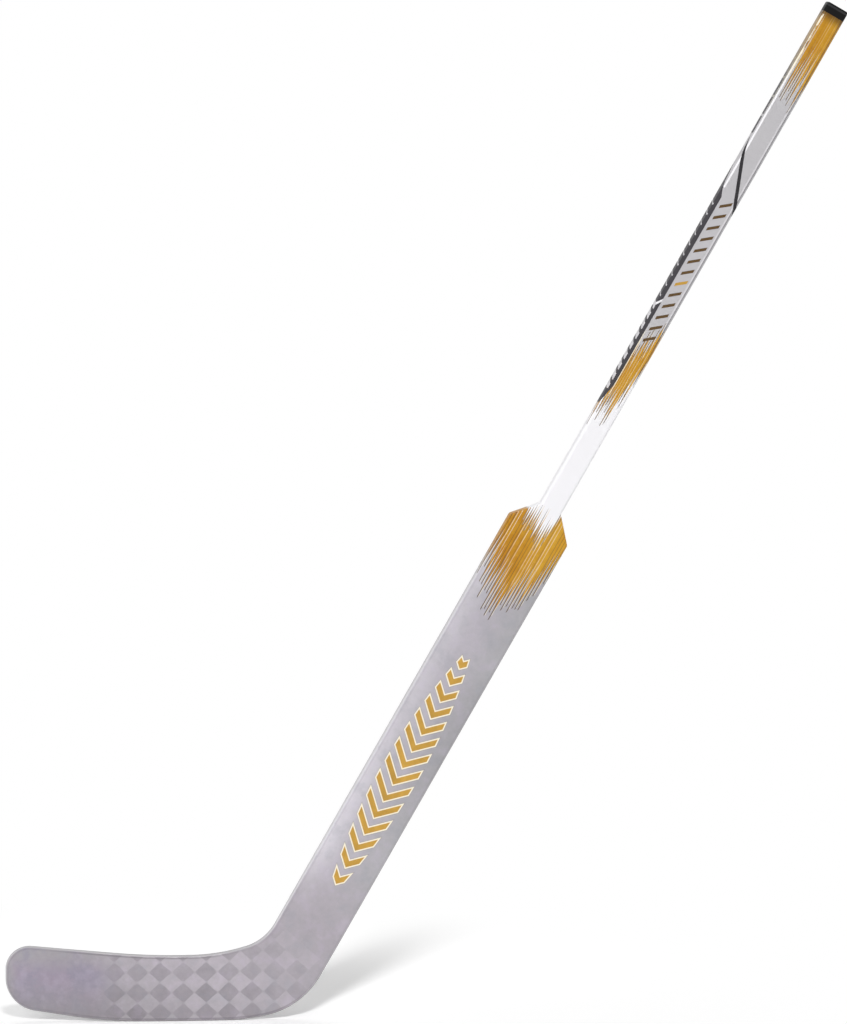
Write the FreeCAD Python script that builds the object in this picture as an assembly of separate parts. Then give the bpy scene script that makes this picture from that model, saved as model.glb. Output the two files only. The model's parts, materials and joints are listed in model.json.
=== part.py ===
import FreeCAD, Part
import math
import os

from FreeCAD import Vector

# An ice hockey goalie stick: a hollow carbon shaft plugged into a foam-cored paddle that turns at
# the heel into a curved, lofted blade. X runs from toe to heel, Y through the thickness, Z is up.
# The origin is the middle of the flat of the sole, so the ice is the plane Z = 0.
# "Axial" is the distance along the shaft axis from the ice, and "across" is the distance from that
# axis in the plane of the face, positive on the heel side.

# Driving dimensions, in millimetres and degrees

LIE_ANGLE = 60.0
AXIS_FOOT = 95.4

# Shaft
SHAFT_LENGTH = 723.0
SHAFT_WIDTH = 29.6
SHAFT_DEPTH = 20.0
SHAFT_CORNER = 4.0
SHAFT_WALL = 1.7

# Paddle
PADDLE_LENGTH = 710.0
PADDLE_WIDTH = 83.0
PADDLE_DEPTH = 16.5
PADDLE_DEPTH_SHARE = 0.75
SHOULDER_LENGTH = 30.0
SHOULDER_CORNER = 5.0

# Heel and throat
HEEL_DEPTH = 12.0
HEEL_STATION = 100.0
HEEL_RISE_ANGLE = 10.0
HEEL_SOLE_RADIUS = 290.0
HEEL_BACK_RADIUS = 104.0
THROAT_ANGLE = 15.0
THROAT_REACH = 44.0
THROAT_RADIUS = 62.0
THROAT_LEAD_RADIUS = 250.0

# Blade
BLADE_HEIGHT = 83.0
SOLE_FLAT = 104.0
TOE_REACH = 219.5
TOE_DEPTH = 6.5
TOE_LIFT_ANGLE = 8.0
TOE_SOLE_RADIUS = 600.0
TOE_LOWER_RADIUS = 42.0
TOE_UPPER_RADIUS = 30.0
TOP_BREAK_REACH = 40.0
TOP_LIFT_ANGLE = 5.0
TOP_RADIUS = 900.0
CURVE_START = 50.0
CURVE_DEPTH = 30.0
LOFT_ANGLE = 8.0

# Lay-up
SKIN = 1.0
EDGE_RADIUS = 2.6
RAIL_LAND = 1.4
SHOULDER_RAIL_LAND = 0.8
TENON_LENGTH = 140.0
SPAR_FOOT = 150.0
SPAR_WEB = 1.0
HEEL_SPLIT = 52.0
RIB_THICKNESS = 2.4
TOE_RAIL_LENGTH = 48.0
SKIN_LAP = 40.0

# Butt-end cap
CAP_HEIGHT = 13.0
CAP_EDGE = 2.5
PLUG_LENGTH = 42.0
PLUG_WALL = 2.2
PLUG_CLEARANCE = 0.15
PLUG_LEAD = 1.5

# Shares and counts, which have no size
EDGE_DEPTH_SHARE = 0.42
CORNER_FIT_SHARE = 0.97
GRID_X = 25
GRID_Z = 19

# Places worked out from the driving dimensions

SHOULDER_TOP = PADDLE_LENGTH + SHOULDER_LENGTH
BUTT_END = SHOULDER_TOP + SHAFT_LENGTH
TUBE_END = BUTT_END - CAP_HEIGHT
TENON_FOOT = SHOULDER_TOP - TENON_LENGTH
SKIN_SEAM = SPAR_FOOT + SKIN_LAP
RAIL_FOOT = SKIN_SEAM + SKIN_LAP
SHOULDER_CUT = PADDLE_LENGTH - SHOULDER_CORNER - SHOULDER_LENGTH / 2
TOE_SPLIT = TOE_RAIL_LENGTH - TOE_REACH
EDGE_FILLET = min(EDGE_RADIUS, EDGE_DEPTH_SHARE * TOE_DEPTH)
RAIL_WIDTH = EDGE_FILLET + RAIL_LAND
SHOULDER_RAIL_WIDTH = EDGE_FILLET + SHOULDER_RAIL_LAND
SHOULDER_STEP = (PADDLE_WIDTH - SHAFT_WIDTH) / 2
SHOULDER_SLOPE = math.hypot(SHOULDER_STEP, SHOULDER_LENGTH)
TENON_WIDTH = SHAFT_WIDTH - 2 * SHOULDER_RAIL_WIDTH * SHOULDER_SLOPE / SHOULDER_LENGTH
CUT_DEPTH = 2 * (SHAFT_DEPTH + CURVE_DEPTH)
CUT_REACH = 2 * (BUTT_END + TOE_REACH)

LIE = math.radians(LIE_ANGLE)
AXIAL = Vector(math.cos(LIE), 0, math.sin(LIE))
ACROSS = Vector(math.sin(LIE), 0, -math.cos(LIE))
THROUGH = Vector(0, 1, 0)
FOOT = Vector(AXIS_FOOT, 0, 0)


def on_stick(axial, across, through=0):
    """The point at these distances along, across and through the stick."""
    return FOOT + AXIAL * axial + ACROSS * across + THROUGH * through


def axial_of(x, z):
    """How far along the shaft axis a point of the face plane lies."""
    return (Vector(x, 0, z) - FOOT).dot(AXIAL)


def across_of(point):
    """How far a point lies from the shaft axis, towards the heel side."""
    return (point - FOOT).dot(ACROSS)


# Outline of paddle and blade, as straight lines with rounded corners


def outline_lines(rail, shoulder_rail):
    """The outline's lines, each with a point, a heading in degrees, how far it is set in and the
    radius of the corner at its end. They run anticlockwise, seen with the toe on the left."""
    heel_corner = SOLE_FLAT / 2 + HEEL_SOLE_RADIUS * math.tan(math.radians(HEEL_RISE_ANGLE / 2))
    toe_corner = SOLE_FLAT / 2 + TOE_SOLE_RADIUS * math.tan(math.radians(TOE_LIFT_ANGLE / 2))
    slope = math.degrees(math.atan2(SHOULDER_STEP, SHOULDER_LENGTH))
    half = PADDLE_WIDTH / 2
    return [
        (on_stick(SHOULDER_TOP, 0), LIE_ANGLE + 90, 0, 0),
        (on_stick(PADDLE_LENGTH, -half), LIE_ANGLE + 180 - slope, shoulder_rail, SHOULDER_CORNER),
        (on_stick(0, -half), LIE_ANGLE + 180, rail, THROAT_RADIUS),
        (Vector(THROAT_REACH, 0, BLADE_HEIGHT), 180 + THROAT_ANGLE, rail, THROAT_LEAD_RADIUS),
        (Vector(0, 0, BLADE_HEIGHT), 180, rail, TOP_RADIUS),
        (Vector(-TOP_BREAK_REACH, 0, BLADE_HEIGHT), 180 - TOP_LIFT_ANGLE, rail, TOE_UPPER_RADIUS),
        (Vector(-TOE_REACH, 0, 0), 270, rail, TOE_LOWER_RADIUS),
        (Vector(-toe_corner, 0, 0), 360 - TOE_LIFT_ANGLE, rail, TOE_SOLE_RADIUS),
        (Vector(0, 0, 0), 360, rail, HEEL_SOLE_RADIUS),
        (Vector(heel_corner, 0, 0), 360 + HEEL_RISE_ANGLE, rail, HEEL_BACK_RADIUS),
        (on_stick(0, half), 360 + LIE_ANGLE, rail, SHOULDER_CORNER),
        (on_stick(PADDLE_LENGTH, half), 360 + LIE_ANGLE + slope, shoulder_rail, 0),
    ]


def heading_vector(degrees):
    angle = math.radians(degrees)
    return Vector(math.cos(angle), 0, math.sin(angle))


def meeting_point(point_a, heading_a, point_b, heading_b):
    """Where two lines of the face plane cross."""
    a, b = heading_vector(heading_a), heading_vector(heading_b)
    gap = point_b - point_a
    along = (gap.x * b.z - gap.z * b.x) / (a.x * b.z - a.z * b.x)
    return point_a + a * along


def rounded_wire(corners):
    """A closed wire through corners of (point, radius). A radius is eased only where two
    neighbouring corners would need more than the line between them."""
    count = len(corners)
    points = [point for point, radius in corners]
    reaches = []
    for i, (point, radius) in enumerate(corners):
        back = (points[i - 1] - point).normalize()
        ahead = (points[(i + 1) % count] - point).normalize()
        half_angle = back.getAngle(ahead) / 2
        reaches.append(radius / math.tan(half_angle))
    eased = []
    for i in range(count):
        before = points[i].distanceToPoint(points[i - 1])
        after = points[i].distanceToPoint(points[(i + 1) % count])
        crowding = max(
            (reaches[i] + reaches[i - 1]) / before,
            (reaches[i] + reaches[(i + 1) % count]) / after,
            CORNER_FIT_SHARE,
        )
        eased.append(reaches[i] * CORNER_FIT_SHARE / crowding)
    edges = []
    starts, ends = [], []
    for i, point in enumerate(points):
        back = (points[i - 1] - point).normalize()
        ahead = (points[(i + 1) % count] - point).normalize()
        starts.append(point + back * eased[i])
        ends.append(point + ahead * eased[i])
        if eased[i] > 0:
            half_angle = back.getAngle(ahead) / 2
            radius = eased[i] * math.tan(half_angle)
            bisector = (back + ahead).normalize()
            middle = point + bisector * (radius / math.sin(half_angle) - radius)
            edges.append(Part.Arc(starts[i], middle, ends[i]).toShape())
    for i in range(count):
        edges.append(Part.LineSegment(ends[i - 1], starts[i]).toShape())
    return Part.Wire(Part.__sortEdges__(edges))


def outline_wire(rail, shoulder_rail):
    """The outline of paddle and blade, set in by the width of the rails round it."""
    lines = outline_lines(rail, shoulder_rail)
    shifted = [
        (point + heading_vector(heading + 90) * inset, heading, inset, radius)
        for point, heading, inset, radius in lines
    ]
    corners = []
    for i, (point, heading, inset, radius) in enumerate(shifted):
        next_point, next_heading = shifted[(i + 1) % len(shifted)][:2]
        turn = math.sin(math.radians(next_heading - heading))
        inner_radius = radius - inset if turn > 0 else radius + inset
        if radius == 0:
            inner_radius = 0
        corners.append(
            (meeting_point(point, heading, next_point, next_heading), max(inner_radius, 0))
        )
    return rounded_wire(corners)


# Prisms that cut the face plane into cells


def prism(wire):
    """The wire's face, carried right through the thickness."""
    face = Part.Face(wire)
    face.translate(THROUGH * -CUT_DEPTH)
    return face.extrude(THROUGH * (2 * CUT_DEPTH))


def stick_block(axial_low, axial_high, across_low, across_high):
    """A prism over a rectangle laid along the shaft axis."""
    corners = [
        on_stick(axial_low, across_low),
        on_stick(axial_low, across_high),
        on_stick(axial_high, across_high),
        on_stick(axial_high, across_low),
    ]
    return prism(Part.makePolygon(corners + corners[:1]))


def ice_block(x_low, x_high, z_low, z_high):
    """A prism over a rectangle laid along the ice."""
    corners = [
        Vector(x_low, 0, z_low),
        Vector(x_high, 0, z_low),
        Vector(x_high, 0, z_high),
        Vector(x_low, 0, z_high),
    ]
    return prism(Part.makePolygon(corners + corners[:1]))


# Layers through the thickness


def depth_at(axial):
    """Thickness of paddle and blade: the one cubic through its depth at toe, heel, paddle and shaft."""
    toe_axial = axial_of(-TOE_REACH, BLADE_HEIGHT / 2)
    stations = [
        (toe_axial, TOE_DEPTH),
        (HEEL_STATION, HEEL_DEPTH),
        (PADDLE_LENGTH * PADDLE_DEPTH_SHARE, PADDLE_DEPTH),
        (SHOULDER_TOP, SHAFT_DEPTH),
    ]
    total = 0
    for i, (here, depth) in enumerate(stations):
        weight = 1
        for j, (there, _) in enumerate(stations):
            if i != j:
                weight *= (axial - there) / (here - there)
        total += depth * weight
    return total


def middle_at(x, z):
    """Where the middle of the thickness lies: it bends back towards the toe and leans open."""
    progress = max(CURVE_START - x, 0) / (CURVE_START + TOE_REACH)
    lean = math.tan(math.radians(LOFT_ANGLE)) * progress * progress
    return CURVE_DEPTH * progress * progress - lean * (z - BLADE_HEIGHT / 2)


def beyond(side, inset):
    """Everything behind the front face (side -1) or the back face (side 1), set in from it."""
    margin = PADDLE_WIDTH / 2
    x_low, x_high = -TOE_REACH - margin, on_stick(SHOULDER_TOP, PADDLE_WIDTH / 2).x + margin
    z_low, z_high = -margin, on_stick(SHOULDER_TOP, -PADDLE_WIDTH / 2).z + margin
    rows = []
    for i in range(GRID_X):
        x = x_low + (x_high - x_low) * i / (GRID_X - 1)
        row = []
        for j in range(GRID_Z):
            z = z_low + (z_high - z_low) * j / (GRID_Z - 1)
            y = middle_at(x, z) + side * (depth_at(axial_of(x, z)) / 2 - inset)
            row.append(Vector(x, y, z))
        rows.append(row)
    surface = Part.BSplineSurface()
    surface.interpolate(rows)
    return surface.toShape().extrude(THROUGH * (2 * CUT_DEPTH))


def single(shape):
    """The one solid of a shape."""
    solids = shape.Solids
    if len(solids) != 1:
        raise ValueError("expected one solid, found %d" % len(solids))
    return solids[0]


def split_pair(shape, key):
    """The two solids of a shape, in rising order of key."""
    solids = sorted(shape.Solids, key=key)
    if len(solids) != 2:
        raise ValueError("expected two solids, found %d" % len(solids))
    return solids


class Layup:
    """The moulded paddle and blade before they are divided into their pieces."""

    def __init__(self):
        behind_front = beyond(-1, 0)
        behind_front_skin = beyond(-1, SKIN)
        behind_back_skin = beyond(1, SKIN)
        behind_back = beyond(1, 0)
        self.front_layer = behind_front.cut(behind_front_skin)
        self.core_layer = behind_front_skin.cut(behind_back_skin)
        self.back_layer = behind_back_skin.cut(behind_back)
        self.inside = prism(outline_wire(RAIL_WIDTH, SHOULDER_RAIL_WIDTH))
        blank = single(prism(outline_wire(0, 0)).common(behind_front.cut(behind_back)))
        self.ring = rounded_rim(blank).cut(self.inside)

    def core(self, cell):
        return single(self.inside.common(cell).common(self.core_layer))

    def box_beam(self, axial_low, axial_high, wall):
        """A hollow beam along the shaft's line, as wide as the tenon, that fills the core's depth."""
        outside = self.core(stick_block(axial_low, axial_high, -TENON_WIDTH / 2, TENON_WIDTH / 2))
        half_hollow = TENON_WIDTH / 2 - wall
        hollow = stick_block(axial_low, axial_high, -half_hollow, half_hollow)
        depth = beyond(-1, SKIN + wall).cut(beyond(1, SKIN + wall))
        return single(outside.cut(hollow.common(depth)))

    def skins(self, cell):
        panel = self.inside.common(cell)
        return single(panel.common(self.front_layer)), single(panel.common(self.back_layer))


def rounded_rim(blank):
    """The blank with its front and back edges rounded, all but those that meet the shaft."""
    rim = []
    for edge in blank.Edges:
        first, last = edge.Vertexes[0].Point, edge.Vertexes[-1].Point
        through_only = math.hypot(first.x - last.x, first.z - last.z) < EDGE_FILLET / 2
        middle = edge.valueAt((edge.FirstParameter + edge.LastParameter) / 2)
        at_shaft = axial_of(middle.x, middle.z) > SHOULDER_TOP - EDGE_FILLET / 2
        if not through_only and not at_shaft:
            rim.append(edge)
    return blank.makeFillet(EDGE_FILLET, rim)


# Shaft


def section_wire(axial, width, depth, corner):
    """A rounded rectangle square to the shaft axis."""
    corners = [
        on_stick(axial, sign_across * width / 2, sign_through * depth / 2)
        for sign_across, sign_through in ((-1, -1), (1, -1), (1, 1), (-1, 1))
    ]
    return rounded_wire([(point, corner) for point in corners])


def bar(axial_low, axial_high, width, depth, corner):
    """A straight rounded bar along the shaft axis."""
    face = Part.Face(section_wire(axial_low, width, depth, corner))
    return face.extrude(AXIAL * (axial_high - axial_low))


def bore_sizes():
    """Width, depth and corner of the shaft's bore."""
    return SHAFT_WIDTH - 2 * SHAFT_WALL, SHAFT_DEPTH - 2 * SHAFT_WALL, SHAFT_CORNER - SHAFT_WALL


def make_shaft_tube(layup):
    """The hollow shaft, with a relieved tenon that the paddle's skins close over."""
    tube = bar(SHOULDER_TOP, TUBE_END, SHAFT_WIDTH, SHAFT_DEPTH, SHAFT_CORNER)
    bore = bar(SHOULDER_TOP + SHAFT_WALL, TUBE_END, *bore_sizes())
    tenon = layup.box_beam(TENON_FOOT, SHOULDER_TOP, SHAFT_WALL)
    return single(tube.cut(bore).fuse(tenon).removeSplitter())


def make_end_cap():
    """The butt-end cap: a rounded head on a hollow plug that pushes into the bore."""
    head = bar(TUBE_END, BUTT_END, SHAFT_WIDTH, SHAFT_DEPTH, SHAFT_CORNER)
    top = [edge for edge in head.Edges if (edge.CenterOfMass - FOOT).dot(AXIAL) > BUTT_END - CAP_EDGE / 2]
    head = head.makeFillet(CAP_EDGE, top)
    width, depth, corner = bore_sizes()
    fit = 2 * PLUG_CLEARANCE
    plug_foot = TUBE_END - PLUG_LENGTH
    plug = bar(plug_foot, TUBE_END, width - fit, depth - fit, corner - PLUG_CLEARANCE)
    foot_edges = [
        edge for edge in plug.Edges if (edge.CenterOfMass - FOOT).dot(AXIAL) < plug_foot + PLUG_LEAD / 2
    ]
    plug = plug.makeChamfer(PLUG_LEAD, foot_edges)
    inner_width = width - fit - 2 * PLUG_WALL
    inner_depth = depth - fit - 2 * PLUG_WALL
    hollow = bar(plug_foot, TUBE_END, inner_width, inner_depth, 0)
    return single(head.fuse(plug.cut(hollow)).removeSplitter())


# Paddle


def make_paddle_spar(layup):
    """The hollow box spar that carries the shaft's line on down to the heel."""
    return layup.box_beam(SPAR_FOOT, TENON_FOOT, SPAR_WEB)


def make_paddle_cores(layup):
    """The foam each side of the shaft's line, from the heel block to the shoulders."""
    toe_side = layup.core(stick_block(SPAR_FOOT, SHOULDER_TOP, -CUT_REACH, -TENON_WIDTH / 2))
    heel_side = layup.core(stick_block(SPAR_FOOT, SHOULDER_TOP, TENON_WIDTH / 2, CUT_REACH))
    return toe_side, heel_side


# Heel and blade


def make_heel_block(layup):
    """The dense block that ties paddle and blade together round the heel."""
    below_paddle = stick_block(-CUT_REACH, SPAR_FOOT, -CUT_REACH, CUT_REACH)
    heel_end = ice_block(HEEL_SPLIT, CUT_REACH, -CUT_REACH, CUT_REACH)
    return layup.core(below_paddle.common(heel_end))


def make_blade_cores(layup):
    """The blade's foam, with the stiffening rib that parts it into an upper and a lower half."""
    rib_low = BLADE_HEIGHT / 2 - RIB_THICKNESS / 2
    rib_high = rib_low + RIB_THICKNESS
    lower = layup.core(ice_block(-CUT_REACH, HEEL_SPLIT, -CUT_REACH, rib_low))
    rib = layup.core(ice_block(-CUT_REACH, HEEL_SPLIT, rib_low, rib_high))
    upper = layup.core(ice_block(-CUT_REACH, HEEL_SPLIT, rib_high, CUT_REACH))
    return lower, rib, upper


# Rails round the edge


def make_rails(layup):
    """The carbon rails that close the edges, from the shoulders round heel and toe."""
    shoulders = layup.ring.common(stick_block(SHOULDER_CUT, CUT_REACH, -CUT_REACH, CUT_REACH))
    sides = layup.ring.common(stick_block(RAIL_FOOT, SHOULDER_CUT, -CUT_REACH, CUT_REACH))
    below_paddle = stick_block(-CUT_REACH, RAIL_FOOT, -CUT_REACH, CUT_REACH)
    heel_end = ice_block(HEEL_SPLIT, CUT_REACH, -CUT_REACH, CUT_REACH)
    heel = layup.ring.common(below_paddle.common(heel_end))
    blade = layup.ring.common(ice_block(TOE_SPLIT, HEEL_SPLIT, -CUT_REACH, CUT_REACH))
    toe = layup.ring.common(ice_block(-CUT_REACH, TOE_SPLIT, -CUT_REACH, CUT_REACH))

    def by_side(solid):
        return across_of(solid.CenterOfMass)

    def by_height(solid):
        return solid.CenterOfMass.z

    shoulder_toe, shoulder_heel = split_pair(shoulders, by_side)
    side_toe, side_heel = split_pair(sides, by_side)
    throat, heel_back = split_pair(heel, by_side)
    sole, blade_top = split_pair(blade, by_height)
    return {
        "shoulder_rail_toe_side": shoulder_toe,
        "shoulder_rail_heel_side": shoulder_heel,
        "paddle_rail_toe_side": side_toe,
        "paddle_rail_heel_side": side_heel,
        "throat_rail": throat,
        "heel_rail": heel_back,
        "blade_top_rail": blade_top,
        "sole_rail": sole,
        "toe_rail": single(toe),
    }


def make_parts():
    """Every piece of the stick, by name."""
    layup = Layup()
    core_toe, core_heel = make_paddle_cores(layup)
    blade_lower, rib, blade_upper = make_blade_cores(layup)
    paddle_front, paddle_back = layup.skins(stick_block(SKIN_SEAM, CUT_REACH, -CUT_REACH, CUT_REACH))
    blade_front, blade_back = layup.skins(stick_block(-CUT_REACH, SKIN_SEAM, -CUT_REACH, CUT_REACH))
    parts = {
        "shaft_tube": make_shaft_tube(layup),
        "end_cap": make_end_cap(),
        "paddle_spar": make_paddle_spar(layup),
        "paddle_core_toe_side": core_toe,
        "paddle_core_heel_side": core_heel,
        "heel_block": make_heel_block(layup),
        "blade_core_lower": blade_lower,
        "blade_core_upper": blade_upper,
        "blade_rib": rib,
        "paddle_front_skin": paddle_front,
        "paddle_back_skin": paddle_back,
        "blade_front_skin": blade_front,
        "blade_back_skin": blade_back,
    }
    parts.update(make_rails(layup))
    return parts


def main():
    os.makedirs("parts", exist_ok=True)
    for name, solid in make_parts().items():
        if not solid.isValid():
            raise ValueError("%s is not a valid solid" % name)
        solid.exportStep(os.path.join("parts", name + ".step"))
        box = solid.BoundBox
        print("%-26s %8.1f x %6.1f x %8.1f mm, %9.0f mm3" % (
            name, box.XLength, box.YLength, box.ZLength, solid.Volume))


main()
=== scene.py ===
import json
import math

import bpy
from mathutils import Matrix, Vector

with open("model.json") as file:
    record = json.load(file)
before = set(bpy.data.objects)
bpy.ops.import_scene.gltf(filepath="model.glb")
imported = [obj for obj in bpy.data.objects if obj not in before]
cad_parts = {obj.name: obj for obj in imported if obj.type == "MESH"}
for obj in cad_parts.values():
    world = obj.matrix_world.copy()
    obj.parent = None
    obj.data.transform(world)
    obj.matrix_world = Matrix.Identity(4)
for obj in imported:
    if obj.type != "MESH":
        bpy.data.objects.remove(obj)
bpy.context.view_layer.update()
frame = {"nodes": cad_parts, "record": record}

# Places on the stick, in metres: axial is along the shaft from the ice, across is positive on the heel side

MOUNTS = {mount["name"]: mount for mount in frame["record"]["mounts"]}
AXIAL = Vector(MOUNTS["butt_end"]["axis"])
BUTT = Vector(MOUNTS["butt_end"]["pos_m"])
FOOT = BUTT - AXIAL * (BUTT.z / AXIAL.z)
ACROSS = Vector((AXIAL.z, 0.0, -AXIAL.x))
BUTT_END = (BUTT - FOOT).length

PADDLE_HALF = 0.0415
SHAFT_HALF = 0.0148
SHAFT_DEEP = MOUNTS["shaft_back_flat"]["pos_m"][1]


def srgb(red, green, blue):
    """A colour as seen, in 0 to 255, as the linear values that a shader takes."""
    def linear(value):
        share = value / 255
        return share / 12.92 if share <= 0.04045 else ((share + 0.055) / 1.055) ** 2.4
    return (linear(red), linear(green), linear(blue), 1.0)


# Pearl tones: the paddle's toe side has a painted light tone, its heel side and the edges' backs a painted
# shade tone
PAINTED_LIGHT_PEARL = srgb(215, 211, 218)
PEARL = srgb(186, 181, 189)
PAINTED_SHADE_PEARL = srgb(172, 170, 174)
BLADE_PEARL = srgb(175, 169, 176)
TOE_PEARL = srgb(150, 144, 160)
PINK_PEARL = srgb(159, 148, 164)
SOLE_PEARL = srgb(148, 143, 148)
LILAC = srgb(184, 172, 194)
SLATE = srgb(166, 170, 182)
MARGIN_GREY = srgb(168, 166, 166)
# Edge tones: painted highlights on the edges, also the pale of the shaft's printed bars, and a dark grey
# for the seams that is also the painted shade under the sole
EDGE_HIGHLIGHT_AND_BAR_PALE = srgb(218, 216, 219)
EDGE_LIGHT_GREY = srgb(186, 185, 186)
BLADE_EDGE_HIGHLIGHT = srgb(192, 190, 192)
SEAM_AND_UNDERSIDE_SHADE_GREY = srgb(126, 121, 126)
SILVER = srgb(197, 195, 198)
WHITE = srgb(250, 249, 252)
GOLD = srgb(184, 119, 14)
PALE_GOLD = srgb(212, 162, 52)
PRINT_GOLD = srgb(200, 156, 70)
SHADED_SIDE_OLIVE = srgb(148, 144, 126)
CREAM = srgb(250, 241, 218)
BROWN = srgb(98, 76, 48)
CAP_SHADE_BROWN = srgb(52, 40, 26)
LINE_GREY = srgb(122, 118, 110)
CHARCOAL = srgb(70, 68, 72)
RUBBER_BLACK = srgb(13, 13, 14)
PAINTED_RUBBER_SHEEN = srgb(56, 56, 58)
CARBON_GREY = srgb(48, 48, 52)
CORE_CREAM = srgb(236, 228, 200)
HEEL_TAN = srgb(220, 204, 160)
FLOOR_PALE = (0.96, 0.96, 0.96, 1.0)

# Shader graphs, with the Mix node's sockets for colours

MIX_SHARE = 0
MIX_UNDER = 6
MIX_OVER = 7
MIX_RESULT = 2


class Field:
    """A number that varies over a surface: a node's output that takes part in sums."""

    def __init__(self, graph, socket):
        self.graph = graph
        self.socket = socket

    def __add__(self, other):
        return self.graph.math("ADD", self, other)

    def __sub__(self, other):
        return self.graph.math("SUBTRACT", self, other)

    def __rsub__(self, other):
        return self.graph.math("SUBTRACT", other, self)

    def __mul__(self, other):
        return self.graph.math("MULTIPLY", self, other)

    def __truediv__(self, other):
        return self.graph.math("DIVIDE", self, other)

    def __abs__(self):
        return self.graph.math("ABSOLUTE", self)

    __radd__ = __add__
    __rmul__ = __mul__

    def floor(self):
        return self.graph.math("FLOOR", self)

    def fract(self):
        return self.graph.math("FRACT", self)

    def at_least(self, other):
        return self.graph.math("MAXIMUM", self, other)

    def at_most(self, other):
        return self.graph.math("MINIMUM", self, other)

    def rise(self, low, high):
        """0 below low, 1 above high and smooth between; low may be the larger."""
        return self.graph.smooth(self, low, high)

    def step(self, soft):
        """0 below 0 and 1 above it, with a soft edge that reaches this far to each side."""
        return self.rise(-soft, soft)


class Graph:
    """A material's node tree, with short calls that add a node and give back its output."""

    def __init__(self, name):
        self.material = bpy.data.materials.new(name)
        self.material.use_nodes = True
        self.tree = self.material.node_tree
        self.tree.nodes.clear()

    def node(self, kind, **settings):
        made = self.tree.nodes.new(kind)
        for key, value in settings.items():
            setattr(made, key, value)
        return made

    def feed(self, socket, value):
        if isinstance(value, Field):
            value = value.socket
        if isinstance(value, bpy.types.NodeSocket):
            self.tree.links.new(value, socket)
        else:
            socket.default_value = value

    def math(self, operation, a, b=0.0):
        made = self.node("ShaderNodeMath", operation=operation)
        self.feed(made.inputs[0], a)
        self.feed(made.inputs[1], b)
        return Field(self, made.outputs[0])

    def smooth(self, value, low, high):
        made = self.node("ShaderNodeMapRange", interpolation_type="SMOOTHSTEP")
        flipped = low > high
        self.feed(made.inputs["Value"], value)
        self.feed(made.inputs["From Min"], min(low, high))
        self.feed(made.inputs["From Max"], max(low, high))
        self.feed(made.inputs["To Min"], 1.0 if flipped else 0.0)
        self.feed(made.inputs["To Max"], 0.0 if flipped else 1.0)
        return Field(self, made.outputs["Result"])

    def mix(self, share, under, over):
        made = self.node("ShaderNodeMix", data_type="RGBA")
        self.feed(made.inputs[MIX_SHARE], share)
        self.feed(made.inputs[MIX_UNDER], under)
        self.feed(made.inputs[MIX_OVER], over)
        return made.outputs[MIX_RESULT]

    def tint(self, colour, amount):
        """The colour, made lighter or darker by a field around 1."""
        made = self.node("ShaderNodeVectorMath", operation="SCALE")
        self.feed(made.inputs[0], colour[:3] if isinstance(colour, tuple) else colour)
        self.feed(made.inputs["Scale"], amount)
        return made.outputs[0]

    def noise(self, vector, scale, detail, roughness):
        made = self.node("ShaderNodeTexNoise")
        self.feed(made.inputs["Vector"], vector)
        self.feed(made.inputs["Scale"], scale)
        self.feed(made.inputs["Detail"], detail)
        self.feed(made.inputs["Roughness"], roughness)
        return Field(self, made.outputs[0])

    def chance(self, *cells):
        """A steady random number, 0 to 1, for each whole-numbered cell."""
        made = self.node("ShaderNodeTexWhiteNoise", noise_dimensions="2D" if len(cells) > 1 else "1D")
        if len(cells) > 1:
            self.feed(made.inputs["Vector"], self.vector(*cells, 0.0))
        else:
            self.feed(made.inputs["W"], cells[0])
        return Field(self, made.outputs["Value"])

    def vector(self, x, y, z):
        made = self.node("ShaderNodeCombineXYZ")
        for socket, value in zip(made.inputs, (x, y, z)):
            self.feed(socket, value)
        return made.outputs[0]

    def dot(self, vector, direction):
        made = self.node("ShaderNodeVectorMath", operation="DOT_PRODUCT")
        self.feed(made.inputs[0], vector)
        self.feed(made.inputs[1], direction)
        return Field(self, made.outputs["Value"])

    def bump(self, height, strength, distance):
        made = self.node("ShaderNodeBump")
        self.feed(made.inputs["Strength"], strength)
        self.feed(made.inputs["Distance"], distance)
        self.feed(made.inputs["Height"], height)
        return made.outputs["Normal"]

    def finish(self, **inputs):
        """Ends the graph in one Principled shader and gives the material."""
        shader = self.node("ShaderNodeBsdfPrincipled")
        for name, value in inputs.items():
            self.feed(shader.inputs[name.replace("_", " ")], value)
        output = self.node("ShaderNodeOutputMaterial")
        self.tree.links.new(shader.outputs[0], output.inputs["Surface"])
        return self.material


class Place:
    """Where a point lies on the stick and which way its surface faces, as fields of a graph."""

    def __init__(self, graph):
        coordinates = graph.node("ShaderNodeTexCoord")
        self.point = coordinates.outputs["Object"]
        self.normal = coordinates.outputs["Normal"]
        parts = graph.node("ShaderNodeSeparateXYZ")
        graph.feed(parts.inputs[0], self.point)
        self.x, self.y, self.z = (Field(graph, socket) for socket in parts.outputs)
        self.axial = graph.dot(self.point, AXIAL) - FOOT.dot(AXIAL)
        self.across = graph.dot(self.point, ACROSS) - FOOT.dot(ACROSS)
        self.facing_across = graph.dot(self.normal, ACROSS)
        self.facing_through = graph.dot(self.normal, (0.0, 1.0, 0.0))
        self.facing_up = graph.dot(self.normal, (0.0, 0.0, 1.0))


# Lacquer: pairs of places between which one tone gives way to the next

PADDLE_BEGINS = (0.14, 0.25)
PADDLE_PALES = (0.46, 0.32)
PADDLE_PALEST = (0.32, 0.24)
PADDLE_DARKENS = (0.26, 0.40)
PADDLE_LIGHTENS = (0.47, 0.54)
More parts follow.
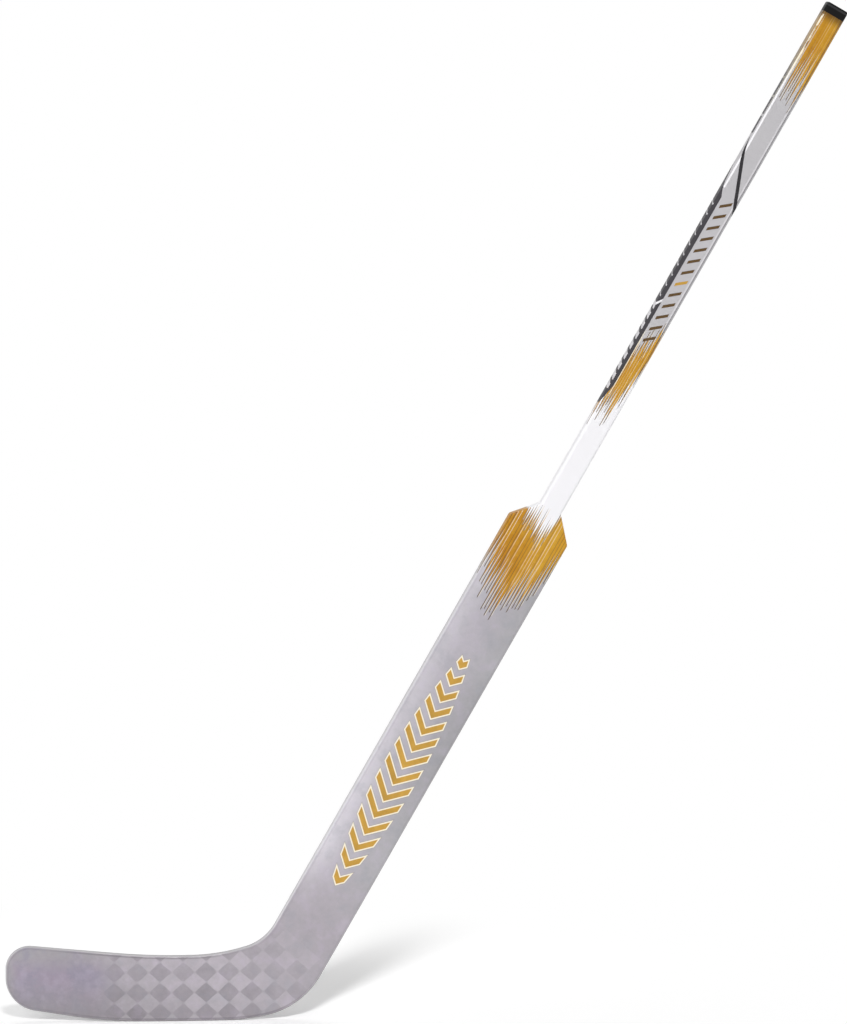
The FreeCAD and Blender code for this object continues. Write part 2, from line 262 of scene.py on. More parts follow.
# Painted light comes in across the toe side of the paddle, painted shade across its heel side
TOE_SIDE_PAINTED_LIGHT = (-PADDLE_HALF, -0.008)
HEEL_SIDE_PAINTED_SHADE = (-0.012, PADDLE_HALF)
TOE_BEGINS = (-0.055, -0.105)
TOE_WANDER = 0.030
TOE_END_MARGIN = (-0.200, -0.218)
TOE_TOP_MARGIN = (0.056, 0.088)
BLADE_DARKENS = (0.080, 0.010)
SOLE_TONE = (0.075, 0.0)
SOLE_DEEPENS = (0.02, -0.12)

# Noise in the lacquer, as scale per metre, detail and roughness

PATCHES = (34.0, 5.0, 0.65)
TINGES = (48.0, 4.0, 0.6)
CLOUDS = (14.0, 4.0, 0.55)
MOTTLES = (120.0, 6.0, 0.7)
GRAINS = (900.0, 2.0, 0.6)
RIPPLES = (160.0, 2.0, 0.5)

# Pairs of noise values between which a colour comes in, and how strong the tinges are

PINK_PATCHES = (0.42, 0.60)
MARGIN_PATCHES = (0.25, 0.60)
LILAC_TINGES = (0.50, 0.66)
SLATE_TINGES = (0.50, 0.34)
TINGE_STRENGTH = 0.16


def paddle_pearl(graph, place):
    """The paddle's lacquer with painted light on the toe side and painted shade on the heel side."""
    light = 0.86 + place.axial.rise(*PADDLE_PALES) * 0.14 + place.axial.rise(*PADDLE_PALEST) * 0.04
    pale = graph.tint(PAINTED_LIGHT_PEARL, light)
    light = 1.04 - place.axial.rise(*PADDLE_DARKENS) * 0.14 + place.axial.rise(*PADDLE_LIGHTENS) * 0.12
    shaded = graph.tint(PAINTED_SHADE_PEARL, light)
    colour = graph.mix(place.across.rise(*TOE_SIDE_PAINTED_LIGHT), pale, PEARL)
    return graph.mix(place.across.rise(*HEEL_SIDE_PAINTED_SHADE), colour, shaded)


def blade_pearl(graph, place):
    """The blade's lacquer: greyer than the paddle's, darker along the sole and lilac at the toe."""
    patch = graph.noise(place.point, *PATCHES)
    toe = graph.mix(patch.rise(*PINK_PATCHES), TOE_PEARL, PINK_PEARL)
    margin = place.x.rise(*TOE_END_MARGIN).at_least(place.z.rise(*TOE_TOP_MARGIN))
    toe = graph.mix(margin * patch.rise(*MARGIN_PATCHES) * 0.65, toe, MARGIN_GREY)
    blade = graph.tint(BLADE_PEARL, 1.0 - place.x.rise(*BLADE_DARKENS) * 0.07)
    at_toe = (place.x + patch * TOE_WANDER).rise(*TOE_BEGINS)
    sole = place.z.rise(*SOLE_TONE) * (0.32 + place.x.rise(*SOLE_DEEPENS) * 0.60)
    return graph.mix(sole, graph.mix(at_toe, blade, toe), SOLE_PEARL)


def lacquer(graph, place):
    """Pearl lacquer with a faint cloudiness."""
    on_paddle = place.axial.rise(*PADDLE_BEGINS)
    colour = graph.mix(on_paddle, blade_pearl(graph, place), paddle_pearl(graph, place))
    tinge = graph.noise(place.point, *TINGES)
    colour = graph.mix(tinge.rise(*LILAC_TINGES) * TINGE_STRENGTH, colour, LILAC)
    colour = graph.mix(tinge.rise(*SLATE_TINGES) * TINGE_STRENGTH, colour, SLATE)
    cloud = graph.noise(place.point, *CLOUDS)
    mottle = graph.noise(place.point, *MOTTLES)
    grain = graph.noise(place.point, *GRAINS)
    return graph.tint(colour, 0.65 + cloud * 0.16 + tinge * 0.24 + mottle * 0.24 + grain * 0.06)


# Painted light on the edges: pairs of facings and of places between which each painted tone comes in

EDGE_LIGHT_TURN = (0.94, 0.70)
EDGE_HIGHLIGHT_TOEWARD = (0.1, -0.3)
EDGE_SHADE_DOWNWARD = (-0.55, -0.80)
EDGE_HIGHLIGHT_PALES = (0.06, 0.14)
EDGE_SHADE_BEHIND = (-0.001, 0.005)
EDGE_SHADE_BEHIND_BEGINS = (0.12, 0.16)
SEAM_TURN = (0.93, 0.98)
SEAM_ON_BLADE = (0.07, 0.01)
SEAM_PAST_TOE = (-0.170, -0.115)


def painted_edge_light(graph, place, colour):
    """Painted highlight on edges, most on those facing the toe; painted shade under the sole and at their
    backs.
    """
    edge = abs(place.facing_through).rise(*EDGE_LIGHT_TURN)
    pale = graph.mix(place.axial.rise(*EDGE_HIGHLIGHT_PALES), BLADE_EDGE_HIGHLIGHT, EDGE_HIGHLIGHT_AND_BAR_PALE)
    tone = graph.mix(place.facing_across.rise(*EDGE_HIGHLIGHT_TOEWARD), EDGE_LIGHT_GREY, pale)
    tone = graph.mix(place.facing_up.rise(*EDGE_SHADE_DOWNWARD), tone, SEAM_AND_UNDERSIDE_SHADE_GREY)
    shade_behind = place.y.rise(*EDGE_SHADE_BEHIND) * place.axial.rise(*EDGE_SHADE_BEHIND_BEGINS)
    tone = graph.mix(shade_behind * 0.6, tone, PAINTED_SHADE_PEARL)
    return graph.mix(edge * 0.85, colour, tone)


def seam(graph, place, colour):
    """The dark flat margin of an edging piece, faint on the paddle and round the toe."""
    dark = 0.10 + place.axial.rise(*SEAM_ON_BLADE) * (0.14 + place.x.rise(*SEAM_PAST_TOE) * 0.31)
    return graph.mix(abs(place.facing_through).rise(*SEAM_TURN) * dark, colour, SEAM_AND_UNDERSIDE_SHADE_GREY)


# Weave: the width and height of a woven square's diamond, and where it shows

WEAVE_WIDE = 0.0287
WEAVE_TALL = 0.0262
WEAVE_SHIFT_X = 0.0034
WEAVE_SHIFT_Z = -0.0030
WEAVE_TOE_END = (-0.112, -0.070)
WEAVE_HEEL_FADE = (0.15, 0.04)
WEAVE_LOW_FADE = (0.15, 0.04)
WEAVE_HIGH_FADE = (0.42, 0.16)
REGULAR_HEEL_END = (0.19, 0.09)
REGULAR_TOP = (0.14, 0.05)
CHECK_STEEPNESS = 16.0
GROOVE = (0.06, 0.0)
WANDERS = (60.0, 2.0, 0.5)
WANDER_REACH = 0.14
SHEENS = (2.2, 3.0, 0.6)
SHEEN_SCALE = 0.9
WORN_PLACES = (21.0, 2.0, 0.5)
WORN_SHARES = (0.35, 0.55)


def weave(graph, place):
    """Flat carbon tapes woven at 45 degrees, seen through the lacquer: a shade around 0, the grooves
    between the tapes, and how strongly both show."""
    wander = graph.noise(place.point, *WANDERS) * WANDER_REACH
    aside = (place.x - WEAVE_SHIFT_X) / WEAVE_WIDE
    upward = (place.z - WEAVE_SHIFT_Z) / WEAVE_TALL
    warp = upward + aside + wander
    weft = upward - aside - wander
    wave = graph.math("SINE", warp * math.pi) * graph.math("SINE", weft * math.pi)
    luck = graph.chance(warp.floor(), weft.floor())
    sheen = graph.noise(graph.vector(warp * SHEEN_SCALE, weft * SHEEN_SCALE, 0.0), *SHEENS)
    regular = place.x.rise(*REGULAR_HEEL_END) * place.axial.rise(*REGULAR_TOP)
    check = (wave * CHECK_STEEPNESS).at_least(-1.0).at_most(1.0)
    shade = (luck - 0.5) * (1.3 - regular * 0.7) + (sheen - 0.5) * 0.8 - check * (0.30 + regular * 0.34)
    groove = abs(wave).rise(*GROOVE)
    shows = (
        place.x.rise(*WEAVE_TOE_END)
        * (0.65 + place.x.rise(*WEAVE_HEEL_FADE) * 0.35)
        * (place.axial.rise(*WEAVE_LOW_FADE) * 0.74 + place.axial.rise(*WEAVE_HIGH_FADE) * 0.26)
        * (0.65 + graph.noise(place.point, *WORN_PLACES).rise(*WORN_SHARES) * 0.35)
    )
    return shade, groove, shows


FACE_FLAT = (0.80, 0.97)
WEAVE_CONTRAST = 0.22
GROOVE_CONTRAST = 0.03
LACQUER_SPECULAR = 0.18
COAT_WEIGHT = 0.09
COAT_ROUGHNESS = 0.12
LACQUER_BUMP = 0.25
LACQUER_RELIEF = 0.0002


def face_lacquer(name, prints, edging=False):
    """The stick's lacquer with its weave, and the prints laid over it. An edging piece has a seam too."""
    graph = Graph(name)
    place = Place(graph)
    shade, groove, shows = weave(graph, place)
    flat = abs(place.facing_through).rise(*FACE_FLAT)
    woven = 1.0 + (shade * WEAVE_CONTRAST + groove * GROOVE_CONTRAST) * shows * flat
    colour = graph.tint(lacquer(graph, place), woven)
    if edging:
        colour = seam(graph, place, colour)
    # Painted highlights and painted shade on the edges
    colour = painted_edge_light(graph, place, colour)
    for layer in prints:
        colour = layer(graph, place, colour)
    ripple = graph.noise(place.point, *RIPPLES)
    return graph.finish(
        Base_Color=colour,
        Roughness=0.34 + ripple * 0.10,
        Specular_IOR_Level=LACQUER_SPECULAR,
        Coat_Weight=COAT_WEIGHT,
        Coat_Roughness=COAT_ROUGHNESS,
        Normal=graph.bump(ripple * 0.3 + groove * shows * -0.8, LACQUER_BUMP, LACQUER_RELIEF),
    )


# Streaks: lanes along the stick, with widths in metres and what lies within a lane in shares of it

PADDLE_LANE = 0.0038
NECK_LANE = PADDLE_LANE * 0.75
SHAFT_LANE = 0.0030
FIRST_LANE = 80.2
SIDE_LANES = 0.08
SIDE_TURN = (0.679, 0.681)
LANE_SOFT = 0.05
LANE_FILL = 0.62
LANE_START = 0.05
LEAST_RUN = 0.45
LEAST_HALF = 0.03
INK_WIDTH = 0.30
PALE_WIDTH = 0.15
END_SOFT = 0.0008
OVERRUN = 0.012
SEED_STEP = 100


def lane_number(place, width):
    """Numbers the lanes across a face, and through the stick on its narrow sides."""
    on_side = abs(place.facing_across).rise(*SIDE_TURN)
    return (place.across * (1.0 - on_side) + (place.y + SIDE_LANES) * on_side) / width + FIRST_LANE


class Streaks:
    """Paint that runs out in narrow lanes along the stick. inside is the distance into the paint from its
    furthest reach. Each lane stops short by a share of spread, and is full after a share of run."""

    def __init__(self, graph, lane, inside, spread, run, seed):
        cell = lane.floor()

        def luck(draw):
            return graph.chance(cell + seed + (draw * SEED_STEP + 0.5))

        self.graph = graph
        self.offset = lane.fract() - 0.5
        self.depth = inside - luck(0) * spread
        full = run * LEAST_RUN + luck(1) * (run * (1.0 - LEAST_RUN))
        self.half = (self.depth / full).at_least(0.0).at_most(1.0) * LANE_FILL - LANE_START
        self.shade = luck(2)
        self.overrun = luck(3) * OVERRUN

    def body(self):
        """The share of paint."""
        return (self.half - abs(self.offset)).step(LANE_SOFT) * self.depth.step(END_SOFT)

    def line(self, side, width, beyond):
        """A thin line down one side of each streak, running on beyond its end."""
        out = self.offset * side - self.half.at_least(LEAST_HALF)
        return out.step(LANE_SOFT) * (width - out).step(LANE_SOFT) * (self.depth + beyond).step(END_SOFT)

    def lay(self, under, paint, ink=BROWN):
        """Paint over a colour, with an ink line on one side of each streak and a pale one on the other."""
        colour = self.graph.mix(self.line(-1.0, INK_WIDTH, self.overrun) * 0.90, under, ink)
        colour = self.graph.mix(self.line(1.0, PALE_WIDTH, self.overrun * 0.5) * 0.75, colour, CREAM)
        return self.graph.mix(self.body(), colour, paint)


# Gold: its noise, the side it pales towards, and the hairlines' lanes and places within a lane

GOLD_PATCHES = (22.0, 3.0, 0.6)
GOLD_FLECKS = (140.0, 4.0, 0.65)
GOLD_SHARES = (0.35, 0.65)
GOLD_SIDE = 0.030
PALE_LANES = (0.50, 0.75)
PALE_HAIR = -0.3
PALE_HAIR_WIDTH = (0.13, 0.05)
DARK_LANES = (0.65, 0.35)
DARK_HAIR = 0.2
DARK_HAIR_WIDTH = (0.18, 0.06)


def gold_paint(graph, place, streaks, lines):
    """Gold that differs a little from lane to lane, with a pale or dark hairline in some lanes."""
    patch = graph.noise(place.point, *GOLD_PATCHES).rise(*GOLD_SHARES)
    fleck = graph.noise(place.point, *GOLD_FLECKS).rise(*GOLD_SHARES)
    share = streaks.shade * 0.25 + patch * 0.20 + fleck * 0.25 + place.across.step(GOLD_SIDE) * 0.40
    gold = graph.mix(share.at_most(1.0), GOLD, PALE_GOLD)
    pale = streaks.shade.rise(*PALE_LANES) * abs(streaks.offset - PALE_HAIR).rise(*PALE_HAIR_WIDTH)
    pale = pale * (0.40 + patch * 0.45 - place.across.rise(0.0, GOLD_SIDE) * 0.25)
    gold = graph.mix(pale * lines, gold, CREAM)
    dark = streaks.shade.rise(*DARK_LANES) * abs(streaks.offset - DARK_HAIR).rise(*DARK_HAIR_WIDTH)
    dark = dark * (0.70 - patch * 0.25 + place.across.rise(0.0, -GOLD_SIDE) * 0.25)
    return graph.mix(dark * lines, gold, BROWN)


# Paddle fade: the lowest reach of the gold and of the white, and how each rises to the sides

GOLD_LOW = 0.573
GOLD_MIDDLE = -0.003
GOLD_SLOPE = 1.4
GOLD_SPREAD = 0.026
GOLD_RUN = 0.070
GOLD_SEED = 11.0
NECK_LOW = 0.692
NECK_TOE_SIDE = -0.002
NECK_TOE_SLOPE = 0.67
NECK_TOE_CORNER = -0.025
NECK_CORNER_SLOPE = 5.0
NECK_HEEL_SIDE = 0.0127
NECK_HEEL_SLOPE = 7.4
NECK_SPREAD = 0.016
NECK_RUN = 0.046
NECK_SEED = 61.0
SHOULDER_TURN = (0.55, 0.70)
SHOULDER_WHITE = (0.004, 0.010)


def paddle_fade(graph, place, colour):
    """Gold from the shoulders down to a streaked point, with the white neck running into it."""
    middle = abs(place.across - GOLD_MIDDLE)
    inside = place.axial - GOLD_LOW - middle * GOLD_SLOPE
    gold = Streaks(graph, lane_number(place, PADDLE_LANE), inside, GOLD_SPREAD, GOLD_RUN, GOLD_SEED)
    colour = gold.lay(colour, gold_paint(graph, place, gold, 1.0))
    toe_side = (NECK_TOE_SIDE - place.across).at_least(0.0) * NECK_TOE_SLOPE
    toe_side = toe_side + (NECK_TOE_CORNER - place.across).at_least(0.0) * NECK_CORNER_SLOPE
    heel_side = (place.across - NECK_HEEL_SIDE).at_least(0.0) * NECK_HEEL_SLOPE
    inside = place.axial - NECK_LOW - toe_side - heel_side
    white = Streaks(graph, lane_number(place, NECK_LANE), inside, NECK_SPREAD, NECK_RUN, NECK_SEED)
    colour = white.lay(colour, WHITE, LINE_GREY)
    sloping = abs(place.facing_across).rise(*SHOULDER_TURN)
    return graph.mix(sloping * white.depth.rise(*SHOULDER_WHITE), colour, WHITE)


# Chevrons

CHEVRON_MIDDLE = 0.358
CHEVRON_RUN = 0.192
CHEVRON_WIDTH = 0.0250
CHEVRON_PITCH = 0.0240
CHEVRON_BAR = 0.0138
CHEVRON_SLOPE = 0.95
CHEVRON_BORDER = 0.0017
CHEVRON_COUNT = 14
CHEVRON_SOFT = 0.00025
CHEVRON_HAIRLINE = (-0.0008, -0.0004)
PRINT_FLAT = (0.6, 0.8)
PRINT_GRAINS = (60.0, 3.0, 0.6)


def paddle_chevrons(graph, place, colour):
    """A long lens of gold chevrons with pale borders."""
    along = (place.axial - CHEVRON_MIDDLE) / CHEVRON_RUN
    envelope = (1.0 - along * along) * CHEVRON_WIDTH - abs(place.across)
    turned = (place.axial - CHEVRON_MIDDLE - abs(place.across) * CHEVRON_SLOPE) / CHEVRON_PITCH
    bar = CHEVRON_BAR / 2 - abs(turned.fract() - 0.5) * CHEVRON_PITCH
    bar = bar * (1 / math.hypot(1.0, CHEVRON_SLOPE))
    depth = envelope.at_most(bar).at_most(CHEVRON_COUNT / 2 - abs(turned))
    flat = abs(place.facing_through).rise(*PRINT_FLAT)
    colour = graph.mix(depth.rise(*CHEVRON_HAIRLINE) * flat * 0.3, colour, BROWN)
    colour = graph.mix(depth.step(CHEVRON_SOFT) * flat, colour, CREAM)
    fill = (depth - CHEVRON_BORDER).step(CHEVRON_SOFT) * flat
    grain = graph.noise(place.point, *PRINT_GRAINS)
    return graph.mix(fill, colour, graph.tint(PRINT_GOLD, 0.68 + grain * 0.64))


# Shaft fades: where each paint ends, with the spread, run and seed of its streaks

SILVERS = (18.0, 4.0, 0.6)
FADE_HEEL_SIDE = 0.003
FADE_HEEL_SLOPE = 6.0
SHAFT_WHITE_HIGH = 0.930
SHAFT_WHITE_STREAKS = (0.030, 0.040, 210.0)
LOWER_GOLD_LOW = 0.860
LOWER_GOLD_LOW_STREAKS = (0.030, 0.052, 240.0)
LOWER_GOLD_HIGH = 0.998
LOWER_GOLD_SLOPE = 1.9
LOWER_GOLD_HIGH_STREAKS = (0.030, 0.045, 270.0)
STREAKS_MEET = (0.9325, 0.9315)
STREAKS_MEET_SLOPE = 2.0
BUTT_GOLD_LOW = 1.322
BUTT_GOLD_SLOPE = 0.4
BUTT_SPREAD = 0.036
BUTT_RUN = 0.085
BUTT_RUN_SLOPE = 2.5
BUTT_SEED = 330.0
SIDE_SHADE_TURN = (-0.70, -0.80)
SIDE_SHADE_BEGINS = (1.290, 1.330)
PAINTED_CAP_SHADE = (1.435, 1.451)


def shaft_fades(graph, place, covered):
    """Silver over all that it covers, a white neck, and gold fades above the neck and at the butt end."""
    lane = lane_number(place, SHAFT_LANE)
    silver = graph.tint(SILVER, 0.95 + graph.noise(place.point, *SILVERS) * 0.10)
    heel_side = (place.across - FADE_HEEL_SIDE).at_least(0.0) * FADE_HEEL_SLOPE
    neck = Streaks(graph, lane, SHAFT_WHITE_HIGH - place.axial + heel_side, *SHAFT_WHITE_STREAKS)
    ground = graph.mix(neck.body(), silver, WHITE)
    low = Streaks(graph, lane, place.axial - LOWER_GOLD_LOW - heel_side, *LOWER_GOLD_LOW_STREAKS)
    below_top = LOWER_GOLD_HIGH - place.axial + place.across * LOWER_GOLD_SLOPE
    high = Streaks(graph, lane, below_top, *LOWER_GOLD_HIGH_STREAKS)
    gold = gold_paint(graph, place, low, 0.7)
    lower_half = (place.axial - place.across * STREAKS_MEET_SLOPE).rise(*STREAKS_MEET)
    colour = graph.mix(lower_half, high.lay(ground, gold), low.lay(ground, gold))
    above_low = place.axial - BUTT_GOLD_LOW + place.across * BUTT_GOLD_SLOPE
    butt_run = BUTT_RUN - place.across * BUTT_RUN_SLOPE
    butt = Streaks(graph, lane, above_low, BUTT_SPREAD, butt_run, BUTT_SEED)
    colour = butt.lay(colour, gold_paint(graph, place, butt, 0.3))
    # Painted shade: the toe side's narrow face near the butt turns olive grey
    on_side = place.facing_across.rise(*SIDE_SHADE_TURN) * place.axial.rise(*SIDE_SHADE_BEGINS)
    colour = graph.mix(on_side * 0.65, colour, SHADED_SIDE_OLIVE)
    # Painted shade: the gold darkens to brown just below the cap
    return graph.mix(place.axial.rise(*PAINTED_CAP_SHADE) * 0.75, colour, CAP_SHADE_BROWN)


# Shaft ticks

TICK_LOW = 0.978
TICK_COUNT = 13
TICK_PITCH = 0.0160
TICK_SLOPE = 0.8
TICK_MIDDLE = 0.0008
TICK_HALF_WIDTH = 0.0064
TICK_HALF_LENGTH = 0.0023
TICK_SOFT = 0.0002
GILT_TICK = 5.0
SAME_TICK = (0.6, 0.4)


def shaft_ticks(graph, place, colour):
    """A row of short slanted ticks along the face."""
    aside = place.across - TICK_MIDDLE
    slanted = (place.axial - TICK_LOW - aside * TICK_SLOPE) / TICK_PITCH
    along = TICK_HALF_LENGTH - abs(slanted.fract() - 0.5) * TICK_PITCH
    inside = along.at_most(TICK_HALF_WIDTH - abs(aside))
    row = slanted.at_most(TICK_COUNT - slanted)
    flat = abs(place.facing_through).rise(*PRINT_FLAT)
    ink = inside.at_most(row).step(TICK_SOFT) * flat
    gilt = abs(slanted.floor() - GILT_TICK).rise(*SAME_TICK)
    return graph.mix(ink, colour, graph.mix(gilt, BROWN, PRINT_GOLD))


# Shaft stripes and band: places along the shaft, and lines by their middle and half width across it

BAND_LOW = 0.886
BAND_LOW_SLOPE = 5.0
BAND_HIGH = 1.197
BAND_HIGH_SLOPE = 2.25
BAND_EDGE = -0.0093
FRONT_TURN = (0.40, 0.20)
CORNER_TURN = (-0.70, -0.14)
CORNER_SCALE = 0.004
STRIPE_HIGH = 1.446
STRIPE_SOFT = (-0.0001, 0.0002)
STRIPE_CREAM = (1.340, 1.385)
STRIPE_GLINTS_BEGIN = (1.392, 1.402)
STRIPE_GLINT_GAPS = (75.0, 2.0, 0.5)
STRIPE_GLINT_SHARES = (0.44, 0.52)
LINE_SOFT = 0.0003
HEEL_WHITE_LINE = (0.0102, 0.0010)
HEEL_WHITE_BEGINS = (1.000, 1.020)
HEEL_WHITE_ENDS = (1.335, 1.315)
HEEL_EDGE_SHADE_LINE = (0.0120, 0.0008)
HEEL_EDGE_SHADE_BEGINS = (0.93, 0.95)
BAND_CREAM_LINE = (-0.0087, 0.0006)
BAND_CREAM_BEGINS = (0.895, 0.905)
BAND_CREAM_ENDS = (1.000, 0.980)


def shaft_line(place, middle, half):
    """A thin line along the shaft."""
    return (half - abs(place.across - middle)).step(LINE_SOFT)


def shaft_stripes(graph, place, colour):
    """Toe corner pinstripe and painted highlight; heel white line and painted shade line; cream line by
    band.
    """
    on_front = place.facing_through.rise(*FRONT_TURN)
    corner = (place.facing_across - CORNER_TURN[0]).at_most(CORNER_TURN[1] - place.facing_across)
    stripe = (corner * CORNER_SCALE).at_most(place.axial - BAND_HIGH).at_most(STRIPE_HIGH - place.axial)
    # Painted glints: towards the butt the cream stripe breaks up into short painted highlights
    glint_gaps = graph.noise(place.point, *STRIPE_GLINT_GAPS).rise(*STRIPE_GLINT_SHARES)
    glint = 1.0 - place.axial.rise(*STRIPE_GLINTS_BEGIN) * glint_gaps
    pale = graph.mix(place.axial.rise(*STRIPE_CREAM), WHITE, CREAM)
    colour = graph.mix(stripe.rise(*STRIPE_SOFT) * on_front * glint, colour, pale)
    shows = place.axial.rise(*HEEL_WHITE_BEGINS) * place.axial.rise(*HEEL_WHITE_ENDS) * on_front * 0.35
    colour = graph.mix(shaft_line(place, *HEEL_WHITE_LINE) * shows, colour, WHITE)
    # Painted shade: a dark line along the heel side's rounded edge
    shows = place.axial.rise(*HEEL_EDGE_SHADE_BEGINS) * on_front
    colour = graph.mix(shaft_line(place, *HEEL_EDGE_SHADE_LINE) * shows * 0.5, colour, CHARCOAL)
    shows = place.axial.rise(*BAND_CREAM_BEGINS) * place.axial.rise(*BAND_CREAM_ENDS) * on_front
    return graph.mix(shaft_line(place, *BAND_CREAM_LINE) * shows * 0.85, colour, CREAM)


NARROW_SIDE = -0.75
NARROW_SCALE = 0.01
DASH_LOW = 1.2722
DASH_HIGH = 1.400
DASH_PITCH = 0.0272
DASH_HALF = 0.0120
DASH_FRONT = 0.0065
DASH_FADES = (1.345, 1.385)
BAR_LOW = 0.907
BAR_HIGH = 1.180
BAR_PITCH = 0.0146
BAR_SLOPE = 0.4
BAR_HALF = 0.0046
BAR_NARROWS = (1.022, 1.040)
BAR_LOSS = 0.0036
BAR_GAP = 0.0001
BAR_SOFT = 0.0003
NOTCH_PLACE = 1.033
NOTCH_ASIDE = 0.0115
NOTCH_SLOPE = 1.5
NOTCH_HALF = 0.0022
NOTCH_SOFT = (0.0, -0.0006)
NOTCH_REACH = (-0.0088, -0.0100)
SLASH_MIDDLE = 1.2120
SLASH_SLOPE = 2.53
SLASH_HALF = 0.0022
SLASH_REACH = 0.0220
SLASH_SOFT = 0.0002
CORNER_SOFT = (0.0001, -0.0001)
INK_SOFT = 0.00015
INK_WEAR = (70.0, 4.0, 0.65)


def from_middle(along, pitch):
    """The distance from the middle of the nearest repeat of a pattern with this pitch."""
    return abs((along / pitch).fract() - 0.5) * pitch


def shaft_band(graph, place, colour):
    """A charcoal band down the toe side with pale bars on its narrow side, and a slanted line across the
    face that runs on round the corner into dashes."""
    on_front = place.facing_through.rise(*FRONT_TURN)
    on_side = (NARROW_SIDE - place.facing_across) * NARROW_SCALE
    around = place.across - (place.y + SHAFT_DEEP) * place.across.rise(*CORNER_SOFT)
    upper = BAND_HIGH - place.axial - (around + SHAFT_HALF) * BAND_HIGH_SLOPE
    lower = place.axial - BAND_LOW - (place.across + SHAFT_HALF) * BAND_LOW_SLOPE
    notch = abs(place.axial - NOTCH_PLACE - (place.across + NOTCH_ASIDE) * NOTCH_SLOPE) - NOTCH_HALF
    colour = graph.mix(notch.rise(*NOTCH_SOFT) * place.across.rise(*NOTCH_REACH), colour, WHITE)
    fewer = place.axial.rise(*BAR_NARROWS)
    bars = BAR_HALF - fewer * BAR_LOSS - from_middle(place.axial - place.y * BAR_SLOPE, BAR_PITCH)
    bars = bars.at_most(place.axial - BAR_LOW).at_most(BAR_HIGH - place.axial).at_most(on_side)
    colour = graph.mix(bars.step(BAR_SOFT) * (1.0 - fewer * 0.4), colour, EDGE_HIGHLIGHT_AND_BAR_PALE)
    dashes = DASH_HALF - from_middle(place.axial - DASH_LOW, DASH_PITCH)
    dashes = dashes.at_most(place.axial - DASH_LOW).at_most(DASH_HIGH - place.axial)
    dashes = dashes.at_most(on_side).at_most(place.y + DASH_FRONT)
    fainter = 1.0 - place.axial.rise(*DASH_FADES) * 0.7
    colour = graph.mix(dashes.step(INK_SOFT) * fainter, colour, CHARCOAL)
    band = (BAND_EDGE - place.across).at_most(upper * 0.40).at_most(lower * 0.20)
    band = band.at_most(notch).at_most(-BAR_GAP - bars)
    slant = SLASH_MIDDLE - place.axial - around * SLASH_SLOPE
    slash = SLASH_HALF - abs(slant) * (1 / math.hypot(1.0, SLASH_SLOPE))
    slash = slash.at_most(around + SLASH_REACH).at_most(on_front - 0.5)
    worn = graph.noise(place.point, *INK_WEAR)
    ink = graph.tint(CHARCOAL, 0.80 + worn * 0.4 - slash.step(SLASH_SOFT) * 0.50)
    return graph.mix(band.at_least(slash).step(INK_SOFT), colour, ink)


# Other finishes

RUBBER_GRAINS = (1400.0, 3.0, 0.6)
RUBBER_SMEARS = (90.0, 3.0, 0.5)
RUBBER_SPECULAR = 0.15
CAP_SHEEN_DEPTH = 0.0035
CAP_SHEEN_WIDTH = (0.0018, 0.0006)
TWILL = 0.002
FOAM_SCALE = 900.0


def cap_rubber():
    """Black rubber with a fine grain and a painted highlight line round the cap near its top."""
    graph = Graph("cap_rubber")
    place = Place(graph)
    grain = graph.noise(place.point, *RUBBER_GRAINS)
    smear = graph.noise(place.point, *RUBBER_SMEARS)
    # Painted highlight: a paler line across the cap near its top
    sheen = abs(place.axial - BUTT_END + CAP_SHEEN_DEPTH).rise(*CAP_SHEEN_WIDTH)
    rubber = graph.tint(RUBBER_BLACK, 0.7 + smear * 0.6)
    return graph.finish(
        Base_Color=graph.mix(sheen * 0.8, rubber, PAINTED_RUBBER_SHEEN),
        Roughness=0.48 + grain * 0.16,
        Specular_IOR_Level=RUBBER_SPECULAR,
        Normal=graph.bump(grain, strength=0.25, distance=0.0001),
    )


def bare_carbon():
    """Unpainted twill, for the pieces inside."""
    graph = Graph("bare_carbon")
    place = Place(graph)
    steps = ((place.x + place.z) / TWILL).floor() + ((place.z - place.x) / TWILL).floor()
    twill = graph.math("PINGPONG", steps, 1.0)
    return graph.finish(
        Base_Color=graph.tint(CARBON_GREY, 0.7 + twill * 0.5),
        Roughness=0.42 + twill * 0.08,
        Normal=graph.bump(twill, strength=0.3, distance=0.0002),
    )


def foam(name, colour):
    """Closed-cell foam."""
    graph = Graph(name)
    place = Place(graph)
    cells = graph.node("ShaderNodeTexVoronoi")
    graph.feed(cells.inputs["Vector"], place.point)
    graph.feed(cells.inputs["Scale"], FOAM_SCALE)
    depth = Field(graph, cells.outputs["Distance"])
    return graph.finish(
        Base_Color=graph.tint(colour, 0.85 + depth * 0.25),
        Roughness=0.88 + depth * 0.05,
        Normal=graph.bump(depth, strength=0.5, distance=0.0004),
    )


def dress(material, *names):
    """Gives CAD nodes their finish."""
    for name in names:
        slots = frame["nodes"][name].data.materials
        slots.clear()
        slots.append(material)


dress(face_lacquer("blade_lacquer", []), "blade_front_skin", "blade_back_skin")
dress(
    face_lacquer("blade_edge_lacquer", [], edging=True),
    "blade_top_rail", "sole_rail", "toe_rail", "throat_rail", "heel_rail",
)
dress(
    face_lacquer("paddle_lacquer", [paddle_fade, paddle_chevrons]),
    "paddle_front_skin", "paddle_back_skin",
)
dress(
    face_lacquer("paddle_edge_lacquer", [paddle_fade], edging=True),
    "paddle_rail_toe_side", "paddle_rail_heel_side", "shoulder_rail_toe_side", "shoulder_rail_heel_side",
)
dress(
    face_lacquer("shaft_lacquer", [shaft_fades, shaft_ticks, shaft_stripes, shaft_band]),
    "shaft_tube",
)
dress(cap_rubber(), "end_cap")
dress(bare_carbon(), "paddle_spar", "blade_rib")
dress(
    foam("core_foam", CORE_CREAM),
    "paddle_core_toe_side", "paddle_core_heel_side", "blade_core_lower", "blade_core_upper",
)
